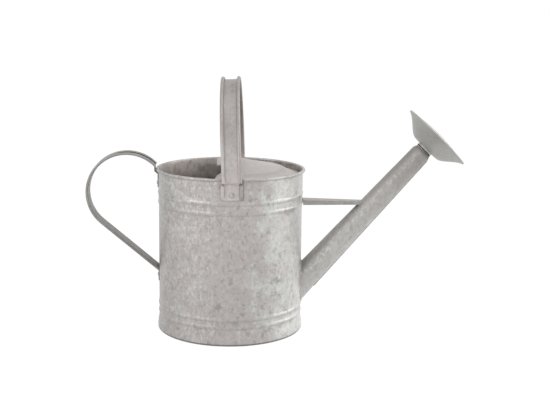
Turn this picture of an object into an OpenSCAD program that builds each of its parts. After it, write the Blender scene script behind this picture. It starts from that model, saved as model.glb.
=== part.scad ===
// Galvanised sheet-steel watering can: a round body with a rolled rim and a half cover, a carrying
// handle over the mouth, a pouring handle at the back, and a long braced spout with a push-fit rose.
// The origin is the centre of the circle that the can stands on. +Z is up, the spout points to +X.

/* [Body] */
// Outer radius of the plain wall
can_r = 100; // [75:1:130]
// Height from the ground to the top of the rolled rim
can_h = 226.8; // [180:1:300]
// Thickness of the sheet that the wall, base, cover, spout and rose are made of
sheet_t = 0.8; // [0.5:0.1:1.2]
// Outer diameter of the rolled rim
rim_d = 4.6; // [3.6:0.2:7]
// How far a rolled ridge stands out of the wall
ridge_h = 0.7; // [0.4:0.1:2]
// Height of one rolled ridge
ridge_w = 6; // [3:0.5:8]
// Distance from the rim's top down to the lower ridge of the top pair
top_ridge_drop = 46.8; // [42:1:60]
// Spacing of the two ridges of the top pair
top_ridge_gap = 13.4; // [10:0.2:18]
// Height of the lower ridge of the bottom pair
low_ridge_z = 26; // [18:1:40]
// Spacing of the two ridges of the bottom pair
low_ridge_gap = 10.6; // [9:0.2:18]
// How much wider the band above the top ridges is than the plain wall
band_step = 0.6; // [0:0.1:2]
// Height of the flared foot
foot_h = 12; // [8:0.5:16]
// How far the foot stands out of the plain wall
foot_flare = 2; // [1.6:0.1:4]
// Radius of the foot's rounded lower edge
foot_round = 2.8; // [2:0.1:3.5]
// Width of the foot's edge, turned in under the base
foot_turn = 6; // [4.5:0.5:9]
// Direction of the wall's lapped seam, turned from the spout
seam_angle = 125; // [100:1:150]
// Width of the wall's lapped seam
seam_w = 9; // [6:0.5:14]

/* [Cover] */
// Distance from the can's axis to the cover's straight edge, behind the axis
cover_back = 19; // [0:1:40]
// How far the cover's peak stands above its flange
cover_rise = 24; // [10:1:35]
// Width of the flat flange round the cover
cover_flange = 9; // [5:0.5:15]
// Distance from the rim's top down to the cover's flange
cover_drop = 4; // [3:0.5:8]
// Height of the lip turned down at the straight edge
cover_lip = 3; // [2:0.5:6]

/* [Strap handles] */
// Width of a handle's strap over its curled edges
strap_w = 26.5; // [20:0.5:34]
// Thickness of the strap's sheet
strap_t = 0.9; // [0.7:0.1:1.4]
// Outer diameter of a strap's curled edge
curl_d = 4.8; // [3.6:0.2:6]
// Width of the slit that an edge's curl leaves open
curl_slit = 0.7; // [0.4:0.1:1]
// Height of the carrying handle's arch above the rim
carry_rise = 121.5; // [115:1:160]
// How far the carrying handle leans towards the back
carry_lean = 2.4; // [0:0.2:4]
// How far along the rim the front foot sits from the can's side, as an angle
front_foot_a = 0.8; // [-3:0.1:5]
// How far along the rim the rear foot sits from the can's side, as an angle
rear_foot_a = 4.4; // [-3:0.1:6]
// Width of a riveted foot
foot_tab_w = 29; // [24:0.5:36]
// Distance from the rim's top down to the crease above a riveted foot
crease_drop = 6.4; // [6:0.2:9]
// Length of a riveted foot below its crease
foot_tab_h = 21.7; // [16:0.5:26]
// Radius of a riveted foot's lower corners
foot_corner = 5; // [2:0.5:8]

/* [Pouring handle] */
// Width of the pouring handle's strap over its curled edges
bow_w = 25.5; // [20:0.5:34]
// Outer diameter of the pouring handle's curled edges
bow_curl_d = 3.6; // [3.4:0.1:5]
// Radius of the pouring handle's bow, to the outside of its curled edges
bow_r = 56.6; // [50:0.1:66]
// Distance from the plain wall back to the centre of the bow
bow_back = 43.5; // [38:0.1:52]
// Distance from the rim's top down to the centre of the bow
bow_drop = 35; // [28:0.2:42]
// Slope of the handle's straight lower arm
arm_slope = 40; // [30:0.5:48]
// Length of the riveted tab under the lower arm
arm_tab_h = 17; // [12:0.5:24]
// Width of the pouring handle's two riveted tabs
bow_tab_w = 17; // [12:0.5:20]

/* [Rivets] */
// Radius of a rivet's shank
rivet_r = 2; // [1.5:0.1:3]
// Radius of a rivet's domed head
rivet_head_r = 3.2; // [2.6:0.1:5]
// Height of a rivet's domed head
rivet_head_h = 1.5; // [1:0.1:2.4]
// Height of the upset end inside the can
rivet_tail_h = 0.8; // [0.5:0.1:1.5]

/* [Spout] */
// Height where the spout's axis leaves the wall
spout_z = 65; // [58:0.5:90]
// Slope of the spout above level
spout_slope = 48; // [40:0.5:55]
// Length of the spout from the wall to its mouth, along its axis
spout_len = 251.9; // [200:0.1:300]
// Outer radius of the spout at the wall
spout_root_r = 19; // [15:0.5:22]
// Outer radius of the spout below its mouth
spout_tip_r = 14; // [13:0.1:16]
// Outer radius of the spout's drawn-in mouth
mouth_r = 11.9; // [10.5:0.1:12.5]
// Length of the drawn-in mouth
mouth_len = 4; // [2:0.5:8]
// Width of the flange that is soldered to the wall
spout_flange = 3.5; // [2:0.5:6]

/* [Brace] */
// Height of the brace's lower edge, from the ground
brace_z = 176; // [160:0.5:182]
// Width of the brace at the wall
brace_root_w = 22; // [14:0.5:30]
// Width of the brace where the spout's middle line is
brace_tip_w = 12; // [8:0.5:18]
// Depth of the brace at the wall
brace_root_h = 6.8; // [4:0.1:9]
// Depth of the brace where the spout's middle line is
brace_tip_h = 4.4; // [2.4:0.1:6]

/* [Rose] */
// Radius of the rose over its rim
rose_r = 52.5; // [42:0.5:62]
// Depth of the rose from its rim back to its flat back
rose_depth = 21; // [14:0.5:30]
// Radius of the rose's flat back
rose_back_r = 20; // [17:0.5:26]
// How far the perforated face bulges forward
face_rise = 5.5; // [2:0.5:10]
// Radius of one spray hole
hole_r = 0.9; // [0.5:0.1:1.5]
// Distance between two rings of spray holes
hole_pitch = 8.8; // [6:0.2:9.2]
// Number of rings of spray holes
hole_rings = 5; // [3:1:5]
// Length of the neck between the rose's back and the seal ring
neck_len = 2.8; // [2:0.1:10]
// How far the rose sits out of line with the spout
rose_tilt = 2.5; // [0:0.1:3]
// Length of the sleeve that pushes into the spout
sleeve_len = 18; // [10:0.5:30]
// Thickness of the seal ring
seal_t = 1.4; // [1:0.1:3]

/* [Clearances] */
// Gap between parts that are soldered, crimped or riveted together
seam_fit = 0.05; // [0.02:0.01:0.1]
// Gap between the rolled rim and what passes outside it
rim_clear = 0.3; // [0.2:0.05:1]
// Gap between the rose's sleeve and the spout's mouth, and between the seal ring and the sleeve
sleeve_clear = 0.25; // [0.2:0.01:0.4]

/* [Hidden] */
$fn = 96;

// A length that makes a cutting solid pass clear of what it cuts
over = 1;

// Wall
rim_z = can_h - rim_d / 2;
band_r = can_r + band_step;
rim_r = band_r - sheet_t + rim_d / 2;
rim_out_r = rim_r + rim_d / 2;
foot_r = can_r + foot_flare;
// Height over which the wall spreads out to the foot
foot_ramp = 1.5;
top_ridge_z = can_h - top_ridge_drop;
base_z = foot_h - foot_ramp - seam_fit;
// The rolled rim stops this far, as an angle, short of closing on the wall
rim_open_a = 40;

// Cover
cover_r = band_r - sheet_t - seam_fit;
cover_z = can_h - cover_drop;
cover_cone_r = cover_r - cover_flange;

// Handles: a leg runs outside the rolled rim, a riveted tab lies on the band below it
leg_r = rim_out_r + rim_clear;
tab_r = band_r + seam_fit;
// How far down a foot its rivet sits, as a part of the foot's length
tab_rivet_part = 0.7;
// How deep a foot's curled edges sink into its tab
curl_sink = 0.6;
crease_z = can_h - crease_drop;
tab_z = crease_z - foot_tab_h;
tab_rivet_z = crease_z - tab_rivet_part * foot_tab_h;
// Height over which a strap steps in from the leg to the tab
step_h = 3.8;
front_foot = [leg_r * sin(front_foot_a), -leg_r * cos(front_foot_a)];
rear_foot = [leg_r * sin(rear_foot_a), leg_r * cos(rear_foot_a)];
arch_mid = (front_foot + rear_foot) / 2;
arch_turn = atan2(rear_foot.x - front_foot.x, rear_foot.y - front_foot.y);
arch_r = norm(rear_foot - front_foot) / 2;
arch_z = can_h + carry_rise - arch_r;

// Radius of the end of a rivet that is upset inside the can
rivet_tail_r = rivet_head_r - 0.4;

// Pouring handle
bow_x = -can_r - bow_back;
bow_z = can_h - bow_drop;
bow_web_r = bow_r - bow_curl_d;
// Where the bow starts, above the rim, and where it ends in the arm
bow_start_a = 44;
bow_end_a = 270 - arm_slope;
arm_tab_r = can_r + seam_fit;
// Where the web of the arm, at the bow's end, starts and how long it is to reach the wall
arm_x = bow_x + bow_web_r * cos(bow_end_a);
arm_z = bow_z + bow_web_r * sin(bow_end_a);
arm_len = (-arm_tab_r - arm_x) / cos(arm_slope);
arm_foot_z = arm_z - arm_len * sin(arm_slope);
arm_rivet_z = arm_foot_z - bow_curl_d - arm_tab_h / 2;

// Spout, along its own axis
spout_t = sheet_t;
spout_taper = (spout_root_r - spout_tip_r) / (spout_len - mouth_len);
// How far the cutting form of the spout reaches into the can
root_in = 40;

// Brace: how far its form reaches into the wall, and where it ends on the spout's middle line
brace_in = 2;
brace_tip_x = can_r + (brace_z - spout_z) / tan(spout_slope);

// Rose, along its own axis from the centre of the spout's mouth
seal_r = mouth_r + seam_fit;
seal_z = seal_r * sin(rose_tilt);
neck_z = seal_z + seal_t;
rose_z = neck_z + neck_len + rose_depth;
sleeve_r = mouth_r - sheet_t - sleeve_clear;
// The hem that the rose's rim folds over the face: its height, and its width over the face
hem_h = 2 * sheet_t + 2 * seam_fit;
hem_w = 2.4;
// How far the flare's curve holds its direction at the rim, as a radius and as a part of the depth
flare_rim_r = 12.5;
flare_rim_part = 0.19;
// How far the flare's curve holds its direction at the flat back
flare_back_r = 10;
face_r = rose_r - sheet_t - seam_fit;
dome_r = face_r - hem_w;
dome_radius = (dome_r * dome_r + face_rise * face_rise) / (2 * face_rise);

// Points of half a rolled ridge's section, from its lower end to its upper end, where the wall
// goes from radius r0 below the ridge to radius r1 above it
function ridge(z, r0, r1) = [
    for (a = [-90:15:90])
        [(a < 0 ? r0 : r1) + (ridge_h + (a < 0 ? r1 - r0 : 0)) * cos(a), z + ridge_w / 2 * sin(a)]
];

function shifted(points, by) = [for (p = points) p + by];

function backwards(points) = [for (i = [len(points) - 1:-1:0]) points[i]];

// A sheet's section: its outer line, and the same line moved back by the sheet's thickness
module sheet_section(points, by) {
    polygon(concat(points, backwards(shifted(points, by))));
}

wall_line = concat(
    [for (a = [-90:15:0]) [foot_r - foot_round, foot_round] + foot_round * [cos(a), sin(a)]],
    [[foot_r, foot_h - foot_ramp], [can_r, foot_h]],
    ridge(low_ridge_z, can_r, can_r),
    ridge(low_ridge_z + low_ridge_gap, can_r, can_r),
    ridge(top_ridge_z, can_r, band_r),
    ridge(top_ridge_z + top_ridge_gap, band_r, band_r),
    [[band_r, rim_z]]
);

// The inside of the wall, which turns in at the foot with a smaller radius
wall_inner_line = concat(
    [[foot_r - foot_turn, 0], [foot_r - foot_turn, sheet_t]],
    [
        for (a = [-90:15:0])
            [foot_r - foot_round, foot_round] + (foot_round - sheet_t) * [cos(a), sin(a)]
    ],
    shifted([for (p = wall_line) if (p.y > foot_round) p], [-sheet_t, 0])
);

// A tube bent into the rolled rim's section, open below
module rim_section() {
    translate([rim_r, rim_z])
        difference() {
            circle(d = rim_d);
            circle(d = rim_d - 2 * sheet_t);
            polygon([
                [0, 0],
                rim_d * [cos(180 + rim_open_a), sin(180 + rim_open_a)],
                rim_d * [-1, 0]
            ]);
        }
}

module at_front_foot() {
    rotate([0, 0, -90 + front_foot_a])
        children();
}

module at_rear_foot() {
    rotate([0, 0, 90 - rear_foot_a])
        children();
}

module at_back() {
    rotate([0, 0, 180])
        children();
}

// A hole through whatever lies at radius r, at height z
module rivet_hole(r, z) {
    reach = 10;
    translate([r, 0, z])
        rotate([0, 90, 0])
            cylinder(r = rivet_r + seam_fit, h = 2 * reach, center = true);
}

// The wall's outer radius is r, and the rivet's head sits on a tab of strap sheet
module rivet(r, z) {
    grip = sheet_t + seam_fit + strap_t;
    translate([r + seam_fit + strap_t, 0, z])
        rotate([0, 90, 0]) {
            rotate_extrude()
                intersection() {
                    dome = (rivet_head_r * rivet_head_r + rivet_head_h * rivet_head_h) / (2 * rivet_head_h);
                    translate([0, rivet_head_h - dome])
                        circle(r = dome);
                    translate([0, seam_fit])
                        square([rivet_head_r, rivet_head_h]);
                }
            translate([0, 0, -grip - 2 * seam_fit - rivet_tail_h])
                cylinder(r = rivet_r, h = grip + rivet_tail_h + 4 * seam_fit);
            translate([0, 0, -grip - 2 * seam_fit - rivet_tail_h])
                cylinder(r = rivet_tail_r, h = rivet_tail_h);
        }
}

// The solid inside the wall's outer surface, made wider all round by a margin
module wall_form(margin) {
    rotate_extrude()
        polygon(concat([[0, 0]], shifted(wall_line, [margin, 0]), [[0, rim_z]]));
}

module body_wall() {
    color([0.71, 0.70, 0.69])
        difference() {
            union() {
                rotate_extrude() {
                    polygon(concat(wall_line, backwards(wall_inner_line)));
                    rim_section();
                }
                wall_seam();
            }
            at_front_foot()
                rivet_hole(band_r, tab_rivet_z);
            at_rear_foot()
                rivet_hole(band_r, tab_rivet_z);
            at_back() {
                rivet_hole(band_r, tab_rivet_z);
                rivet_hole(can_r, arm_rivet_z);
            }
            spout_form(-spout_t);
        }
}

// The lap of the rolled sheet: a second thickness on the wall between the two pairs of ridges
module wall_seam() {
    low = low_ridge_z + low_ridge_gap + ridge_w / 2;
    high = top_ridge_z - ridge_w / 2;
    intersection() {
        difference() {
            cylinder(r = can_r + sheet_t, h = high);
            translate([0, 0, -over])
                cylinder(r = can_r - sheet_t / 2, h = high + 2 * over);
        }
        rotate([0, 0, seam_angle])
            translate([0, -seam_w / 2, low])
                cube([can_r + 2 * over, seam_w, high - low]);
    }
}

module base_pan() {
    flange_r = foot_r - sheet_t - seam_fit;
    color([0.62, 0.61, 0.60])
        rotate_extrude()
            polygon([
                [0, base_z], [flange_r, base_z], [flange_r, foot_round],
                [flange_r - sheet_t, foot_round], [flange_r - sheet_t, base_z - sheet_t],
                [0, base_z - sheet_t]
            ]);
}

// Half of a shallow cone with a flat flange, cut off straight behind the can's axis
module half_cover() {
    color([0.73, 0.71, 0.71])
        intersection() {
            union() {
                rotate_extrude()
                    sheet_section(
                        [[cover_r, cover_z], [cover_cone_r, cover_z], [0, cover_z + cover_rise]],
                        [0, -sheet_t]
                    );
                cover_edge();
            }
            translate([-cover_back, -can_r * 2, 0])
                cube([can_r * 4, can_r * 4, can_h * 2]);
        }
}

// The lip turned down along the straight edge, following the cone's slope
module cover_edge() {
    intersection() {
        translate([-cover_back, -can_r, 0])
            cube([sheet_t, can_r * 2, can_h * 2]);
        rotate_extrude()
            sheet_section(
                [[cover_r, cover_z], [cover_cone_r, cover_z], [0, cover_z + cover_rise]],
                [0, -sheet_t - cover_lip]
            );
    }
}

// The strap's section: x is outwards from the web's inner face, y runs across the strap
module strap_section(w, curl) {
    reach = (w - curl) / 2;
    translate([0, -reach])
        square([strap_t, 2 * reach]);
    for (side = [-1, 1])
        translate([curl / 2, side * reach])
            difference() {
                circle(d = curl);
                circle(d = curl - 2 * strap_t);
                translate([strap_t - curl / 2, side > 0 ? -curl : 0])
                    square([curl_slit, curl]);
            }
}

// A riveted tab that hugs a wall of radius r between two heights, its lower corners rounded
module wall_tab(r, w, low, high, corner) {
    intersection() {
        difference() {
            cylinder(r = r + strap_t, h = high);
            translate([0, 0, -over])
                cylinder(r = r, h = high + 2 * over);
        }
        rotate([90, 0, 90])
            linear_extrude(height = r * 2) {
                translate([-w / 2, low + corner])
                    square([w, high - low - corner]);
                translate([-w / 2 + corner, low])
                    square([w - 2 * corner, corner * 2]);
                for (side = [-1, 1])
                    translate([side * (w / 2 - corner), low + corner])
                        circle(r = corner);
            }
    }
}

// The sloping step of the web from a leg, outside the rim, in to the tab on the wall
module web_step(w) {
    rotate([90, 0, 0])
        linear_extrude(height = w, center = true)
            polygon([
                [tab_r, crease_z - step_h / 2],
                [tab_r + strap_t, crease_z - step_h / 2],
                [leg_r + strap_t, crease_z + step_h / 2],
                [leg_r + strap_t, crease_z + step_h],
                [leg_r, crease_z + step_h],
                [leg_r, crease_z + step_h / 2]
            ]);
}

// A foot of the carrying handle: tab, step and the curled edges that run down the tab
module carry_foot() {
    difference() {
        union() {
            wall_tab(tab_r, foot_tab_w, tab_z, crease_z - step_h / 2 + strap_t, foot_corner);
            web_step(strap_w - curl_d);
            for (side = [-1, 1])
                translate([
                    tab_r + curl_d / 2 - curl_sink,
                    side * (foot_tab_w - curl_d) / 2,
                    tab_z + foot_corner
                ])
                    cylinder(d = curl_d, h = crease_z - tab_z - foot_corner - step_h / 2);
        }
        cylinder(r = tab_r, h = can_h * 2);
        rivet_hole(band_r, tab_rivet_z);
    }
}

module top_handle() {
    leg_low = crease_z + step_h / 2;
    color([0.69, 0.68, 0.67])
        union() {
            at_front_foot()
                carry_foot();
            at_rear_foot()
                carry_foot();
            translate([arch_mid.x, arch_mid.y, leg_low])
                rotate([0, 0, -arch_turn])
                    rotate([0, -carry_lean, 0]) {
                        for (side = [-1, 1])
                            rotate([0, 0, side * 90])
                                linear_extrude(height = arch_z - leg_low)
                                    translate([arch_r, 0])
                                        strap_section(strap_w, curl_d);
                        translate([0, 0, arch_z - leg_low])
                            rotate([90, 0, 90])
                                rotate_extrude(angle = 180)
                                    translate([arch_r, 0])
                                        strap_section(strap_w, curl_d);
                    }
        }
}

module top_handle_front_rivet() {
    color([0.74, 0.73, 0.72])
        at_front_foot()
            rivet(band_r, tab_rivet_z);
}

module top_handle_rear_rivet() {
    color([0.74, 0.73, 0.72])
        at_rear_foot()
            rivet(band_r, tab_rivet_z);
}

// The bow and the straight arm below it
module bow_strap() {
    translate([bow_x, 0, bow_z])
        rotate([90, 0, 0]) {
            rotate([0, 0, bow_start_a])
                rotate_extrude(angle = bow_end_a - bow_start_a)
                    translate([bow_web_r, 0])
                        strap_section(bow_w, bow_curl_d);
            rotate([0, 0, bow_end_a])
                rotate([-90, 0, 0])
                    linear_extrude(height = arm_len + 4 * bow_curl_d)
                        translate([bow_web_r, 0])
                            strap_section(bow_w, bow_curl_d);
        }
}

// The bow's web carried on past its curled edges to the leg that passes outside the rim
module bow_web_end() {
    out = strap_t * [cos(bow_start_a), sin(bow_start_a)];
    along = strap_t * [sin(bow_start_a), -cos(bow_start_a)];
    start = [
        bow_x + bow_web_r * cos(bow_start_a),
        bow_z + bow_web_r * sin(bow_start_a)
    ];
    rotate([90, 0, 0])
        linear_extrude(height = bow_w - bow_curl_d, center = true)
            polygon([
                start - out / 10,
                start + out,
                start + out + along / 2,
                [-leg_r, can_h],
                [-leg_r, crease_z + step_h / 2],
                [-leg_r - strap_t, crease_z + step_h / 2],
                [-leg_r - strap_t, can_h - strap_t]
            ]);
}

// The step and the tab that rivet the bow's upper end to the band
module bow_upper_foot() {
    difference() {
        union() {
            web_step(bow_tab_w);
            wall_tab(tab_r, bow_tab_w, tab_z, crease_z - step_h / 2 + strap_t, foot_corner);
        }
        rivet_hole(band_r, tab_rivet_z);
    }
}

// The tab that rivets the arm's lower end to the wall
module arm_foot() {
    difference() {
        wall_tab(arm_tab_r, bow_tab_w, arm_foot_z - bow_curl_d - arm_tab_h, arm_foot_z, foot_corner);
        rivet_hole(can_r, arm_rivet_z);
    }
}

module back_handle() {
    color([0.67, 0.66, 0.65])
        union() {
            difference() {
                bow_strap();
                cylinder(r = arm_tab_r, h = can_h - 2 * top_ridge_drop);
            }
            bow_web_end();
            at_back() {
                bow_upper_foot();
                arm_foot();
            }
        }
}

module back_handle_upper_rivet() {
    color([0.74, 0.73, 0.72])
        at_back()
            rivet(band_r, tab_rivet_z);
}

module back_handle_lower_rivet() {
    color([0.74, 0.73, 0.72])
        at_back()
            rivet(can_r, arm_rivet_z);
}

// Turns +Z into the spout's axis and starts at the wall
module along_spout() {
    translate([can_r, 0, spout_z])
        rotate([0, 90 - spout_slope, 0])
            children();
}

// The spout's outer line, from inside the can to its mouth
spout_line = [
    [spout_root_r + root_in * spout_taper, -root_in],
    [spout_tip_r, spout_len - mouth_len],
    [mouth_r, spout_len]
];

// The solid inside the spout's outer surface, made wider all round by a margin
module spout_form(margin) {
    along_spout()
        rotate_extrude()
            polygon(concat([[0, -root_in]], shifted(spout_line, [margin, 0]), [[0, spout_len]]));
}

// The ring of sheet round the spout's root that lies on the wall
module spout_root_flange() {
    difference() {
        intersection() {
            wall_form(seam_fit + sheet_t);
            spout_form(spout_flange);
        }
        spout_form(-spout_t / 2);
    }
}

module spout_tube() {
    color([0.66, 0.66, 0.64])
        difference() {
            union() {
                along_spout()
                    rotate_extrude()
                        sheet_section(spout_line, [-spout_t, 0]);
                spout_root_flange();
            }
            wall_form(seam_fit);
        }
}

// The brace's outer form, made smaller all round by inset and deeper below by drop
module brace_form(inset, drop) {
    intersection() {
        translate([0, 0, brace_z - drop])
            linear_extrude(height = brace_root_h * 2)
                polygon([
                    [can_r - brace_in, -brace_root_w / 2 + inset],
                    [brace_tip_x, -brace_tip_w / 2 + inset],
                    [brace_tip_x, brace_tip_w / 2 - inset],
                    [can_r - brace_in, brace_root_w / 2 - inset]
                ]);
        rotate([90, 0, 0])
            linear_extrude(height = brace_root_w * 2, center = true)
                polygon([
                    [can_r - 2 * brace_in, brace_z - drop],
                    [brace_tip_x + over, brace_z - drop],
                    [brace_tip_x + over, brace_z + brace_tip_h - inset],
                    [can_r - 2 * brace_in, brace_z + brace_root_h - inset]
                ]);
    }
}

// A channel with its edges turned down, from the top ridge of the wall to the top of the spout
module spout_brace() {
    color([0.65, 0.65, 0.64])
        difference() {
            brace_form(0, 0);
            brace_form(strap_t, over);
            cylinder(r = band_r + ridge_h + seam_fit, h = can_h);
            spout_form(seam_fit);
        }
}

// Turns +Z into the rose's axis and starts at the centre of the spout's mouth
module along_rose() {
    along_spout()
        translate([0, 0, spout_len])
            rotate([0, rose_tilt, 0])
                children();
}

module rose_seal_ring() {
    color([0.10, 0.10, 0.10])
        along_rose()
            translate([0, 0, seal_z])
                difference() {
                    cylinder(r = seal_r, h = seal_t);
                    translate([0, 0, -over])
                        cylinder(r = sleeve_r + sleeve_clear, h = seal_t + 2 * over);
                }
}

// The tube soldered into the rose's back: a sleeve, a wider collar and a flange inside the rose
module rose_neck() {
    collar_r = mouth_r - 2 * seam_fit;
    flange_r = collar_r + 3 * sheet_t;
    flange_z = rose_z - rose_depth + sheet_t + seam_fit;
    color([0.68, 0.68, 0.66])
        along_rose()
            rotate_extrude()
                polygon([
                    [sleeve_r - sheet_t, seal_z - sleeve_len],
                    [sleeve_r, seal_z - sleeve_len],
                    [sleeve_r, neck_z],
                    [collar_r, neck_z],
                    [collar_r, flange_z],
                    [flange_r, flange_z],
                    [flange_r, flange_z + sheet_t],
                    [sleeve_r - sheet_t, flange_z + sheet_t]
                ]);
}

// A point of the rose's flared side, which starts at its rim for t = 0 and ends at its back
function flare(t) =
    pow(1 - t, 3) * [rose_r, 0]
    + 3 * pow(1 - t, 2) * t * [rose_r - flare_rim_r, -flare_rim_part * rose_depth]
    + 3 * (1 - t) * t * t * [rose_back_r + flare_back_r, -rose_depth]
    + t * t * t * [rose_back_r, -rose_depth];

// The flared back of the rose, with the hem that grips the face's edge
module rose_cone() {
    // The inside of the flare, moved in at 45 degrees by the sheet's thickness
    skin = sheet_t * [-cos(45), sin(45)];
    steps = 12;
    side = [for (i = [0:steps]) flare(i / steps)];
    bore = mouth_r - seam_fit;
    color([0.61, 0.61, 0.58])
        along_rose()
            translate([0, 0, rose_z])
                rotate_extrude()
                    difference() {
                        polygon(concat(
                            [[rose_r - hem_w, hem_h], [rose_r, hem_h]],
                            side,
                            [[bore, -rose_depth], [bore, -rose_depth + sheet_t]],
                            [[rose_back_r, -rose_depth + sheet_t]],
                            backwards(shifted([for (i = [1:steps - 1]) side[i]], skin)),
                            [[rose_r - hem_w, 0]]
                        ));
                        translate([0, -seam_fit])
                            square([face_r + seam_fit, sheet_t + 2 * seam_fit]);
                    }
}

// The perforated face: a shallow dome with a flat edge that the rose's hem grips
module rose_face() {
    color([0.72, 0.72, 0.70])
        along_rose()
            translate([0, 0, rose_z])
                difference() {
                    rotate_extrude() {
                        intersection() {
                            difference() {
                                translate([0, face_rise - dome_radius + sheet_t])
                                    circle(r = dome_radius, $fn = 360);
                                translate([0, face_rise - dome_radius])
                                    circle(r = dome_radius, $fn = 360);
                            }
                            square([dome_r, 2 * face_rise]);
                        }
                        translate([dome_r - sheet_t / 2, 0])
                            square([face_r - dome_r + sheet_t / 2, sheet_t]);
                    }
                    translate([0, 0, -over])
                        cylinder(r = hole_r, h = face_rise * 2 + over);
                    for (ring = [1:hole_rings], k = [0:6 * ring - 1])
                        rotate([0, 0, k * 60 / ring])
                            translate([ring * hole_pitch, 0, -over])
                                cylinder(r = hole_r, h = face_rise * 2 + over);
                }
}

body_wall();
base_pan();
half_cover();
top_handle();
top_handle_front_rivet();
top_handle_rear_rivet();
back_handle();
back_handle_upper_rivet();
back_handle_lower_rivet();
spout_tube();
spout_brace();
rose_seal_ring();
rose_neck();
rose_cone();
rose_face();
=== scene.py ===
"""Looks for a weathered galvanised watering can: sheet pieces, finishes, camera and stage."""

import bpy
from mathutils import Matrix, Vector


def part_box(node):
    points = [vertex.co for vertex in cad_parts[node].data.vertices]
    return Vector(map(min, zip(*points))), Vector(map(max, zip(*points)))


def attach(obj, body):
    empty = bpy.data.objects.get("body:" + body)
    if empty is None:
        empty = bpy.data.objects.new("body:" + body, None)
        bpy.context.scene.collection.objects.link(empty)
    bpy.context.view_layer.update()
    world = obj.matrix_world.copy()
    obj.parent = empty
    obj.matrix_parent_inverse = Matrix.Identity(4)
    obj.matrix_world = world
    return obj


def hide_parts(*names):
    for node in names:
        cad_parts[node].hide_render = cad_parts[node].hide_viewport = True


bl_info = {
    "name": "Galvanised watering can",
    "version": (1, 0, 0),
    "blender": (4, 5, 0),
    "location": "3D View > Sidebar > Watering can",
    "description": "Models the sheet pieces of a watering can on its frame and gives them a zinc finish",
    "category": "Object",
}

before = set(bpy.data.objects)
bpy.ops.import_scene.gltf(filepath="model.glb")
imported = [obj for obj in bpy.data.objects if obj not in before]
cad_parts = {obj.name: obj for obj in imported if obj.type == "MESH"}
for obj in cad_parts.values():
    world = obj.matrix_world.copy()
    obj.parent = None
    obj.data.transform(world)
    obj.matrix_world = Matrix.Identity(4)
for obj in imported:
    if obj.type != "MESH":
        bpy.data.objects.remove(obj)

import math
from collections import Counter

import bpy
from mathutils import Matrix, Vector

MM = 0.001


def linear(red, green, blue):
    """A scene-linear colour from its three levels out of 255."""
    def channel(level):
        level /= 255
        return level / 12.92 if level <= 0.04045 else ((level + 0.055) / 1.055) ** 2.4
    return (channel(red), channel(green), channel(blue))


# ---------------------------------------------------------------- sizes of the frame, in metres

WALL_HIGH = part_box("body_wall")[1]
COVER_LOW, COVER_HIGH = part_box("half_cover")
FRONT_TAB_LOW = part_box("top_handle")[0].z
FRONT_RIVET = sum(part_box("top_handle_front_rivet"), Vector()) / 2

CAN_H = WALL_HIGH.z
RIM_OUT = 4.4 * MM
CAN_R = WALL_HIGH.x - RIM_OUT
BAND_R = CAN_R + 0.6 * MM
FOOT_R = CAN_R + 2 * MM
FOOT_ROLL_R = 2.8 * MM
RIM_R = 1.8 * MM
RIM_Z = CAN_H - RIM_R
RIDGE_W = 6 * MM
RIDGE_SWELL = 0.85 * MM
RIDGES = (26 * MM, 36.6 * MM, 180 * MM, 193.4 * MM)
SEAM_R = CAN_R + 0.75 * MM
SEAM_TURN = math.radians(125)

COVER_TAB_Y = 30 * MM
COVER_TAB_X = COVER_LOW.x
COVER_EDGE_X = COVER_LOW.x + 6 * MM
# For each side of the cover, how far out its straight edge runs, and how fast its corner then runs back
COVER_CORNERS = {-1: (62 * MM, 0.5), 1: (86 * MM, 1.15)}
COVER_LIP = 2.6 * MM

SPOUT_SLOPE = math.radians(48)
SPOUT_LEN = 251.9 * MM
SPOUT_NECK = SPOUT_LEN - 4 * MM
SPOUT_ROOT_R = 19 * MM
SPOUT_TIP_R = 14 * MM
SPOUT_MOUTH_R = 11.9 * MM
SPOUT_TAPER = (SPOUT_ROOT_R - SPOUT_TIP_R) / SPOUT_NECK
SPOUT_ROOT = Vector((CAN_R, 0, 65 * MM))
SPOUT_AXIS = Vector((math.cos(SPOUT_SLOPE), 0, math.sin(SPOUT_SLOPE)))
MOUTH = SPOUT_ROOT + SPOUT_LEN * SPOUT_AXIS

ARCH_MID_Z = 0.2437
ARCH_MARKS = ((0.7 * MM, 0, 0.3435), (0.7 * MM, 0, 0.3368))

CAMERA_AT = (0, -1.421, 0.447)
CAMERA_RIGHT = Vector((0.99904, -0.04170, 0.01307))
CAMERA_UP = Vector((-0.00574, 0.17111, 0.98523))
CAMERA_LENS = 67.55
CAMERA_SHIFT = (-0.0009, -0.036)
LAMP_AIM = Vector((0, 0, 0.12))
FLOOR_Z = -0.0002


# ---------------------------------------------------------------- settings that a user would change

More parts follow.
